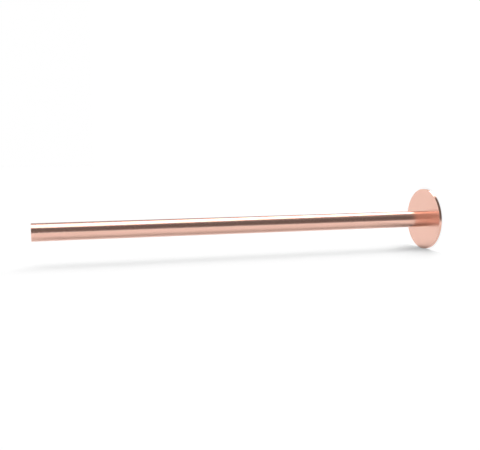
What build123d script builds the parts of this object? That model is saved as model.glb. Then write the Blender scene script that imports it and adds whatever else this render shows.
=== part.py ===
from build123d import *

import os

# A pinch-off tube: a drawn copper tube brazed square into a flat copper gasket, so
# that a knife-edge flange clamps it and the free end can later be pinched shut.
# Millimetres, +Z up. It stands on the gasket, with the tube upright. The origin is
# on the common axis, in the gasket's far face, which is the face on the floor.

# Tube
tube_diameter = 12.7
tube_wall = 0.89
tube_reach = 302.8  # from the gasket's near face to the free end
tube_outer_deburr = 0.15
tube_inner_deburr = 0.10

# Spigot: the tube's end inside the gasket, turned down to leave a coned shoulder
spigot_step = 0.25

# Gasket
gasket_diameter = 48.1
gasket_thickness = 2.0
gasket_edge_break = 0.12

# Joint: the gap that the braze metal fills round the spigot
braze_gap = 0.03

tube_radius = tube_diameter / 2
bore_radius = tube_radius - tube_wall
spigot_radius = tube_radius - spigot_step
gasket_radius = gasket_diameter / 2
hole_radius = spigot_radius + braze_gap

# Heights above the floor. The shoulder is a 45 degree cone, as high as it is wide.
spigot_end = 0.0
shoulder_top = spigot_end + gasket_thickness
shoulder_foot = shoulder_top - spigot_step
free_end = shoulder_top + tube_reach

# The hole's countersink takes the cone down to where the spigot's gap begins.
countersink = spigot_step - braze_gap

os.makedirs("parts", exist_ok=True)

# The tube: one drawn length with a plain bore. Its profile is the wall, sawn square
# at the free end. At the other the coned shoulder centres it in the gasket, and the
# spigot below is faced flush with the gasket's far side.
with BuildPart() as pinch_tube:
    with BuildSketch(Plane.XZ):
        with BuildLine():
            Polyline(
                (bore_radius, spigot_end),
                (spigot_radius, spigot_end),
                (spigot_radius, shoulder_foot),
                (tube_radius, shoulder_top),
                (tube_radius, free_end),
                (bore_radius, free_end),
                close=True,
            )
        make_face()
    revolve(axis=Axis.Z)
    cut_face = pinch_tube.faces().sort_by(Axis.Z)[-1]
    bore_edge, outer_edge = cut_face.edges().sort_by(SortBy.RADIUS)
    chamfer(outer_edge, length=tube_outer_deburr)
    chamfer(bore_edge, length=tube_inner_deburr)
pinch_tube.part.label = "pinch_tube"

# The gasket: a flat annealed disc, turned to size, with both rim edges broken. Its
# hole takes the spigot with the brazing gap all round, and is countersunk on the
# near side as the seat of the tube's shoulder.
with BuildPart() as gasket_disc:
    with BuildSketch():
        Circle(gasket_radius)
        Circle(hole_radius, mode=Mode.SUBTRACT)
    extrude(amount=gasket_thickness)
    rim = gasket_disc.faces().filter_by(GeomType.CYLINDER).sort_by(SortBy.AREA)[-1]
    chamfer(rim.edges().filter_by(GeomType.CIRCLE), length=gasket_edge_break)
    hole_mouth = gasket_disc.faces().sort_by(Axis.Z)[-1].edges().sort_by(SortBy.RADIUS)[0]
    chamfer(hole_mouth, length=countersink)
gasket_disc.part.label = "gasket_disc"

export_step(pinch_tube.part, "parts/pinch_tube.step")
export_step(gasket_disc.part, "parts/gasket_disc.step")
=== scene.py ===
import bpy
import numpy as np
from mathutils import Matrix, Vector


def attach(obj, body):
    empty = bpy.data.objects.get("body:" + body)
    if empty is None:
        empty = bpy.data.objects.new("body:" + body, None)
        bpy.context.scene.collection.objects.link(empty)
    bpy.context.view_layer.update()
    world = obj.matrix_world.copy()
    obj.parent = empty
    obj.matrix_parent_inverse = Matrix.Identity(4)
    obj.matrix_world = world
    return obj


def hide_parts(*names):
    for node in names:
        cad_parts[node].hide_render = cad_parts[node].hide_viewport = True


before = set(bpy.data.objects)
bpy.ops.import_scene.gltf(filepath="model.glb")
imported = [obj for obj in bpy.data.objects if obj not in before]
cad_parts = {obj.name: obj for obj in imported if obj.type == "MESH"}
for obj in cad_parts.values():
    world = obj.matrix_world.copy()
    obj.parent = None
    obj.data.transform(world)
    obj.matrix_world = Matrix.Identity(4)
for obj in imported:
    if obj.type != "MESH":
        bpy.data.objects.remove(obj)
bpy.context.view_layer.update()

# ---------------------------------------------------------------- the tube
# One drawn length of half-inch copper tube, bright outside and in, sawn square and
# deburred at the free end. The other end is turned down to a spigot with a coned
# shoulder, which drops into the gasket and is brazed there.

# Radii and heights in millimetres, as in the CAD
tube_radius, bore_radius, spigot_radius = 6.35, 5.46, 6.10
shoulder_foot, shoulder_top, free_end = 1.75, 2.0, 304.8


def eased(section):
    """Profile points and their outward normals, for a closed section of corners
    (radius, height, round), run with the solid on the left. Each corner is swapped
    for an arc of its own round radius, tangent to both of its sides: the arc's centre
    lies on the corner's bisector, and the normal turns evenly from side to side."""
    points_on_arc = 6
    table = np.array(section, float)
    p, rounds = table[:, :2], table[:, 2]
    into = p - np.roll(p, 1, axis=0)
    away = np.roll(p, -1, axis=0) - p
    into /= np.linalg.norm(into, axis=1)[:, None]
    away /= np.linalg.norm(away, axis=1)[:, None]
    turn = np.arctan2(into[:, 0] * away[:, 1] - into[:, 1] * away[:, 0],
                      (into * away).sum(1))
    back = rounds * np.tan(np.abs(turn) / 2)
    bulge = (rounds * np.sign(turn))[:, None]
    outward = np.stack([into[:, 1], -into[:, 0]], 1)
    centre = p - into * back[:, None] - outward * bulge
    angle = np.linspace(0, 1, points_on_arc)[None, :] * turn[:, None]
    c, s = np.cos(angle), np.sin(angle)
    normal = np.stack([outward[:, None, 0] * c - outward[:, None, 1] * s,
                       outward[:, None, 0] * s + outward[:, None, 1] * c], 2)
    place = centre[:, None, :] + normal * bulge[:, None]
    return place.reshape(-1, 2), normal.reshape(-1, 2)


def filled(place, normal, longest):
    """The same profile with points added on its straight runs, evenly, so that no run
    between two points is over that length. An added point keeps its run's normal."""
    after = np.roll(place, -1, axis=0)
    runs = np.linalg.norm(after - place, axis=1)
    parts = np.maximum(1, np.ceil(runs / longest)).astype(int)
    first = np.repeat(np.arange(len(place)), parts)
    run_start = np.repeat(np.cumsum(parts) - parts, parts)
    share = (np.arange(len(first)) - run_start) / np.repeat(parts, parts)
    return place[first] + (after[first] - place[first]) * share[:, None], normal[first]


def turned(name, section, longest, around):
    """A closed section of rounded corners turned once round the Z axis, from
    millimetres to metres: point (i, j) is (r_j cos a_i, r_j sin a_i, z_j) with a_i
    even steps of the whole turn, and its normal is the section's, turned as far."""
    place, normal = filled(*eased(section), longest)
    a = np.arange(around) * (2 * np.pi / around)
    c, s = np.cos(a)[:, None], np.sin(a)[:, None]
    co, no = (np.stack([c * v[:, 0], s * v[:, 0], np.ones_like(c) * v[:, 1]], 2)
              for v in (place, normal))
    n = len(place)
    i, j = np.meshgrid(np.arange(around), np.arange(n), indexing="ij")
    i2, j2 = (i + 1) % around, (j + 1) % n
    quads = np.stack([i * n + j, i2 * n + j, i2 * n + j2, i * n + j2], 2).reshape(-1, 4)
    mesh = bpy.data.meshes.new(name)
    mesh.from_pydata((co / 1000).reshape(-1, 3), [], quads)
    mesh.polygons.foreach_set("use_smooth", np.ones(len(quads), bool))
    mesh.normals_split_custom_set_from_vertices(no.reshape(-1, 3))
    mesh.update()
    piece = bpy.data.objects.new(name, mesh)
    bpy.context.scene.collection.objects.link(piece)
    return piece


tube = turned("drawn_tube", [
    (bore_radius, 0, 0.05),
    (spigot_radius, 0, 0.05),
    (spigot_radius, shoulder_foot, 0.04),
    (tube_radius, shoulder_top, 0.04),
    (tube_radius, free_end, 0.16),
    (bore_radius, free_end, 0.11)], longest=4.0, around=192)


def add(tree, kind, **settings):
    """A node of that kind, with its properties and plain socket values set by name."""
    new = tree.nodes.new(kind)
    for key, value in settings.items():
        if hasattr(new, key):
            setattr(new, key, value)
        else:
            new.inputs[key.replace("_", " ")].default_value = value
    return new


def math(tree, operation, *values):
    """A Math node: each value is a number or another node's output."""
    new = add(tree, "ShaderNodeMath", operation=operation)
    for k, value in enumerate(values):
        if isinstance(value, (int, float)):
            new.inputs[k].default_value = value
        else:
            tree.links.new(value, new.inputs[k])
    return new.outputs[0]


def ranged(tree, value, start, end, at_start, at_end, smooth=True):
    """Map Range: value from start to end becomes at_start to at_end, eased where it is
    smooth, and held at both ends."""
    new = add(tree, "ShaderNodeMapRange", clamp=True,
              interpolation_type="SMOOTHSTEP" if smooth else "LINEAR")
    tree.links.new(value, new.inputs[0])
    for k, number in enumerate((start, end, at_start, at_end)):
        new.inputs[k + 1].default_value = number
    return new.outputs[0]


def noise(tree, vector, scale, detail):
    """Noise of that many cells a metre, over a vector."""
    new = add(tree, "ShaderNodeTexNoise", Scale=scale, Detail=detail)
    tree.links.new(vector, new.inputs["Vector"])
    return new.outputs[0]


def blended(tree, share, a, b):
    """A colour between a and b, each a colour or another node's output."""
    new = add(tree, "ShaderNodeMix", data_type="RGBA")
    for value, socket in ((share, new.inputs[0]), (a, new.inputs[6]), (b, new.inputs[7])):
        if isinstance(value, tuple):
            socket.default_value = (*value, 1)
        else:
            tree.links.new(value, socket)
    return new.outputs[2]


def metal(name):
    """A bare metal: the material, its tree, its shader and the piece's coordinates."""
    made = bpy.data.materials.new(name)
    made.use_nodes = True
    tree = made.node_tree
    skin = tree.nodes["Principled BSDF"]
    skin.inputs["Metallic"].default_value = 1.0
    where = add(tree, "ShaderNodeTexCoord").outputs["Object"]
    return made, tree, skin, where


def raised(tree, skin, pattern, height):
    """A bump of the pattern on the shader, which stands that many metres high."""
    bump = add(tree, "ShaderNodeBump", Strength=1.0, Distance=height)
    tree.links.new(pattern, bump.inputs["Height"])
    tree.links.new(bump.outputs[0], skin.inputs["Normal"])


bright_copper = (0.855, 0.527, 0.43)
warm_copper = (0.81, 0.47, 0.37)
rubbed_copper = (0.90, 0.60, 0.50)

# Drawing leaves faint streaks along the tube, so their noise is stretched in height.
# The free end is rubbed bright over its last half millimetre.
drawn_copper, tree, skin, where = metal("drawn_copper")
along = add(tree, "ShaderNodeMapping")
along.inputs["Scale"].default_value = (1, 1, 0.008)
tree.links.new(where, along.inputs["Vector"])
streaks = noise(tree, along.outputs[0], scale=900, detail=3)
clouds = noise(tree, where, scale=45, detail=2)
xyz = add(tree, "ShaderNodeSeparateXYZ")
tree.links.new(where, xyz.inputs[0])
end_rub = ranged(tree, xyz.outputs["Z"], 0.3042, 0.3047, 0.0, 0.8)
warmth = ranged(tree, clouds, 0.35, 0.75, 0.0, 0.18)
tone = blended(tree, warmth, bright_copper, warm_copper)
tone = blended(tree, end_rub, tone, rubbed_copper)
tree.links.new(tone, skin.inputs["Base Color"])
finish = math(tree, "ADD", ranged(tree, streaks, 0.3, 0.7, 0.215, 0.245),
              ranged(tree, clouds, 0.4, 0.7, 0.0, 0.01))
tree.links.new(finish, skin.inputs["Roughness"])
raised(tree, skin, streaks, height=0.000002)
tube.data.materials.append(drawn_copper)

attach(tube, "root")
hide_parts("pinch_tube")

# ---------------------------------------------------------------- the gasket
# A flat disc of annealed copper, the gasket of a knife-edge flange. It is turned to
# size, with both rim edges broken, and lapped flat. The tube is brazed through its
# countersunk hole, and the braze metal shows as a hair line round the tube.

gasket_radius, gasket_thickness, braze_gap = 24.05, 2.0, 0.03
hole_radius = spigot_radius + braze_gap
seat = shoulder_top - (tube_radius - hole_radius)

gasket = turned("gasket", [
    (hole_radius, 0, 0.05),
    (gasket_radius, 0, 0.06),
    (gasket_radius, gasket_thickness, 0.06),
    (tube_radius, gasket_thickness, 0.02),
    (hole_radius, seat, 0.02)], longest=1.2, around=288)

# Lapping leaves faint rings, so their noise runs on the distance from the axis. The
# rim is rubbed a little, and the braze metal ends 0.2 mm outside the tube.
lapped_copper, tree, skin, where = metal("lapped_copper")
flat = add(tree, "ShaderNodeVectorMath", operation="MULTIPLY")
flat.inputs[1].default_value = (1, 1, 0)
tree.links.new(where, flat.inputs[0])
out = add(tree, "ShaderNodeVectorMath", operation="LENGTH")
tree.links.new(flat.outputs[0], out.inputs[0])
radius = out.outputs["Value"]
rings_at = add(tree, "ShaderNodeCombineXYZ")
tree.links.new(radius, rings_at.inputs[0])
rings = noise(tree, rings_at.outputs[0], scale=5200, detail=2)
clouds = noise(tree, where, scale=70, detail=3)
warmth = ranged(tree, clouds, 0.35, 0.75, 0.0, 0.12)
rim_rub = ranged(tree, radius, 0.0236, 0.0240, 0.0, 0.15)
braze = ranged(tree, radius, 0.00640, 0.00655, 1.0, 0.0)
braze_metal = (0.80, 0.68, 0.55)
tone = blended(tree, warmth, bright_copper, warm_copper)
tone = blended(tree, rim_rub, tone, rubbed_copper)
tone = blended(tree, braze, tone, braze_metal)
tree.links.new(tone, skin.inputs["Base Color"])
finish = math(tree, "ADD", ranged(tree, rings, 0.3, 0.7, 0.20, 0.225),
              ranged(tree, clouds, 0.4, 0.7, 0.0, 0.012))
tree.links.new(finish, skin.inputs["Roughness"])
raised(tree, skin, rings, height=0.0000012)
gasket.data.materials.append(lapped_copper)

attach(gasket, "root")
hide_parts("gasket_disc")

# ---------------------------------------------------------------- the studio
# A white floor under the gasket, and a white card that stands against its rim, where
# the photograph has its floor. Both are plain matt white and show from the front only.

facing = np.radians(22.5)
to_facing = Matrix.Rotation(facing, 4, "Z")
card_gap = 0.00002
behind = -gasket_radius / 1000 - card_gap
foot = to_facing @ Vector((behind, 0, gasket_thickness / 1000))
floor_reach, card_reach = 4, 2


def sheet(name, corners):
    """A flat stage sheet through four corners, in metres, with +X the way that the
    card's front faces."""
    mesh = bpy.data.meshes.new(name)
    mesh.from_pydata([tuple(to_facing @ Vector(corner)) for corner in corners], [],
                     [(0, 1, 2, 3)])
    made = bpy.data.objects.new(name, mesh)
    bpy.context.scene.collection.objects.link(made)
    made.visible_diffuse = made.visible_shadow = False
    return made


def matt_white(name, colour, light, full, far, near, spot):
    """Matt white of that level, which the room lights by a factor of light. The camera
    sees it at the full level, less a share of what shadows take: far is that share,
    and from 44 to 8 mm off the spot it changes to near. Its back can't be seen."""
    made = bpy.data.materials.new(name)
    made.use_nodes = True
    tree = made.node_tree
    tree.nodes.remove(tree.nodes["Principled BSDF"])
    off = add(tree, "ShaderNodeVectorMath", operation="DISTANCE")
    tree.links.new(add(tree, "ShaderNodeTexCoord").outputs["Object"], off.inputs[0])
    off.inputs[1].default_value = spot
    share = ranged(tree, off.outputs["Value"], 0.008, 0.044, near, far, smooth=False)
    matt = add(tree, "ShaderNodeBsdfDiffuse", Color=(colour, colour, colour, 1))
    shaded = add(tree, "ShaderNodeBsdfDiffuse")
    tree.links.new(math(tree, "MULTIPLY", share, 1 / light), shaded.inputs["Color"])
    unshaded = add(tree, "ShaderNodeEmission")
    tree.links.new(math(tree, "SUBTRACT", full, share), unshaded.inputs["Strength"])
    seen = add(tree, "ShaderNodeAddShader")
    tree.links.new(shaded.outputs[0], seen.inputs[0])
    tree.links.new(unshaded.outputs[0], seen.inputs[1])
    front = add(tree, "ShaderNodeMixShader")
    tree.links.new(add(tree, "ShaderNodeLightPath").outputs["Is Camera Ray"],
                   front.inputs[0])
    tree.links.new(matt.outputs[0], front.inputs[1])
    tree.links.new(seen.outputs[0], front.inputs[2])
    clear = add(tree, "ShaderNodeBsdfTransparent")
    whole = add(tree, "ShaderNodeMixShader")
    tree.links.new(add(tree, "ShaderNodeNewGeometry").outputs["Backfacing"],
                   whole.inputs[0])
    tree.links.new(front.outputs[0], whole.inputs[1])
    tree.links.new(clear.outputs[0], whole.inputs[2])
    tree.links.new(whole.outputs[0], tree.nodes["Material Output"].inputs["Surface"])
    return made


# The card's foot parts the floor. In front the photograph has pale ground and next to
# no shadow, and behind, where only the other views look, the floor takes the object's
# shadow.
for name, first, last, white in (
        ("floor", behind, floor_reach,
         dict(full=1.10, far=0.40, near=0.50, spot=(0, 0, 0))),
        ("floor_behind_card", -floor_reach, behind,
         dict(full=1.05, far=0.90, near=1.00, spot=foot))):
    floor = sheet(name, [(first, -floor_reach, 0), (last, -floor_reach, 0),
                         (last, floor_reach, 0), (first, floor_reach, 0)])
    floor.data.materials.append(matt_white(name, colour=0.8, light=0.98, **white))
    floor.visible_glossy = False

# The gasket's rim mirrors the floor in front of it. A white strip close round the rim
# is a painted reflection that stands for that floor, and a dim one is a painted dark
# reflection of the dark side of the room: both glow, though neither is a lamp, and only
# reflections see them. Between the two the rim mirrors the soft box, as in the photograph.
strip_radius = (gasket_radius + 0.55) / 1000
strip_heights, strip_steps = (-0.001, 0.0016), 144


def strip(name, first, last, level):
    """A wall of two rows of points on the strips' circle, from one bearing to the
    other in degrees from where the card faces. It glows at that level for reflections
    only, as a painted reflection in the rim."""
    a = facing + np.radians(np.linspace(first, last, strip_steps + 1))
    across = strip_radius * np.stack([np.cos(a), np.sin(a)], 1)
    mesh = bpy.data.meshes.new(name)
    mesh.from_pydata(
        [(p, q, height) for height in strip_heights for p, q in across], [],
        [(k, k + 1, k + strip_steps + 2, k + strip_steps + 1) for k in range(strip_steps)])
    made = bpy.data.objects.new(name, mesh)
    bpy.context.scene.collection.objects.link(made)
    made.visible_camera = made.visible_diffuse = made.visible_transmission = False
    made.visible_shadow = made.visible_volume_scatter = False
    glow = bpy.data.materials.new(name)
    glow.use_nodes = True
    glow.cycles.emission_sampling = "NONE"
    tree = glow.node_tree
    tree.nodes.remove(tree.nodes["Principled BSDF"])
    tree.links.new(add(tree, "ShaderNodeEmission", Strength=level).outputs[0],
                   tree.nodes["Material Output"].inputs["Surface"])
    mesh.materials.append(glow)


dim_level = 0.155
# Painted reflections in the rim: a white strip for the floor, a dim one for the dark room.
strip("painted_reflection_white_strip", -14, 265, 0.85)
strip("painted_reflection_dim_strip", -84, -40, dim_level)

card = sheet("card", [(behind, -card_reach, 0), (behind, card_reach, 0),
                      (behind, card_reach, card_reach), (behind, -card_reach, card_reach)])
card.data.materials.append(matt_white("card_white", colour=0.885, light=1.120,
                                      full=1.02, far=0.40, near=0.74, spot=foot))
bpy.context.scene.cycles.caustics_reflective = False

# The light is the room's own picture: white all round, a long soft box that faces the
# card, and a dim room on the side where the camera stands. It is drawn on the
# direction (x, y, z), with x the way that the card faces.
room = bpy.data.worlds.new("studio")
bpy.context.scene.world = room
room.use_nodes = True
tree = room.node_tree
swing = add(tree, "ShaderNodeMapping", vector_type="VECTOR")
swing.inputs["Rotation"].default_value = (0, 0, -facing)
tree.links.new(add(tree, "ShaderNodeTexCoord").outputs["Generated"],
               swing.inputs["Vector"])
xyz = add(tree, "ShaderNodeSeparateXYZ")
tree.links.new(swing.outputs[0], xyz.inputs[0])
x, y, z = xyz.outputs
minus_y = math(tree, "MULTIPLY", y, -1)

# The walls, by bearing in degrees from -y towards x
bearing = math(tree, "MULTIPLY_ADD", math(tree, "ARCTAN2", x, minus_y), 1 / (2 * np.pi), 0.5)
walls = add(tree, "ShaderNodeValToRGB")
tree.links.new(bearing, walls.inputs[0])
wall_levels = [(-180, 0.95), (-30, 1.0), (-6, 1.05), (-1, 0.20), (12, dim_level),
               (50, dim_level), (75, 0.32), (115, 0.38), (145, 0.42), (165, 0.75),
               (180, 0.95)]
while len(walls.color_ramp.elements) < len(wall_levels):
    walls.color_ramp.elements.new(0.5)
for stop, (angle, level) in zip(walls.color_ramp.elements, wall_levels):
    stop.position = angle / 360 + 0.5
    stop.color = (level, level, level, 1)

# The soft box stands between a near edge and a far one, which both lean: their places
# move with the height z. It is brightest low down, where the tube's foot mirrors it.
near_edge = math(tree, "ADD", math(tree, "MULTIPLY_ADD", x, 0.53, y),
                 math(tree, "MULTIPLY", math(tree, "ABSOLUTE", z), -1.1))
near_edge = math(tree, "ADD", near_edge,
                 ranged(tree, z, -0.52, -0.36, -0.08, 0.01, smooth=False))
far_edge = math(tree, "ADD", math(tree, "MULTIPLY_ADD", x, 0.45, minus_y),
                ranged(tree, z, -0.32, 0, 0.256, 0, smooth=False))
far_edge = math(tree, "ADD", far_edge,
                ranged(tree, z, -0.54, -0.51, 0.2, 0, smooth=False))
box = math(tree, "MULTIPLY", ranged(tree, near_edge, -0.05, 0.05, 0, 1),
           ranged(tree, far_edge, -0.04, 0.04, 0, 1))
box = math(tree, "MULTIPLY", box, ranged(tree, x, 0.0, 0.15, 0, 1))
box_level = math(tree, "ADD", ranged(tree, z, -0.55, -0.4, 7.0, 3.6, smooth=False),
                 ranged(tree, z, -0.4, 0.1, 0.0, -1.1, smooth=False))


def mixed(share, a, b):
    """A level of the room between a and b, each a number or another node's output."""
    new = add(tree, "ShaderNodeMix")
    tree.links.new(share, new.inputs[0])
    for value, socket in ((a, new.inputs[2]), (b, new.inputs[3])):
        if isinstance(value, (int, float)):
            socket.default_value = value
        else:
            tree.links.new(value, socket)
    return new.outputs[0]


# The walls turn to a white ceiling overhead, the box stands in front of both, and the
# camera itself sees plain white.
ceiling_level, background_level = 1.06, 1.0
sky = mixed(ranged(tree, z, 0.1, 0.9, 0, 0.95, smooth=False), walls.outputs[0], ceiling_level)
lit = mixed(box, sky, box_level)
shown = mixed(add(tree, "ShaderNodeLightPath").outputs["Is Camera Ray"], lit, background_level)
tree.links.new(shown, tree.nodes["Background"].inputs["Strength"])
tree.nodes["Background"].inputs["Color"].default_value = (1, 1, 1, 1)

# ---------------------------------------------------------------- the camera
# The photograph was taken from beside the free end, slightly above the tube, which lay
# level in the picture. The part stands here, so the camera is rolled to match.

camera = bpy.data.objects.new("camera", bpy.data.cameras.new("camera"))
bpy.context.scene.collection.objects.link(camera)
right = Vector((0.0, -0.277162, -0.960823))
up = Vector((0.992535, 0.117182, -0.033803))
turn = Matrix((right, up, right.cross(up))).transposed()
stand = Matrix.Translation((0.059844, -0.467000, 0.290880))
camera.matrix_world = to_facing @ stand @ turn.to_4x4()
camera.data.sensor_width, camera.data.lens = 36.0, 49.240
camera.data.clip_start, camera.data.clip_end = 0.01, 50
bpy.context.scene.camera = camera
bpy.context.scene.view_settings.view_transform = "Standard"
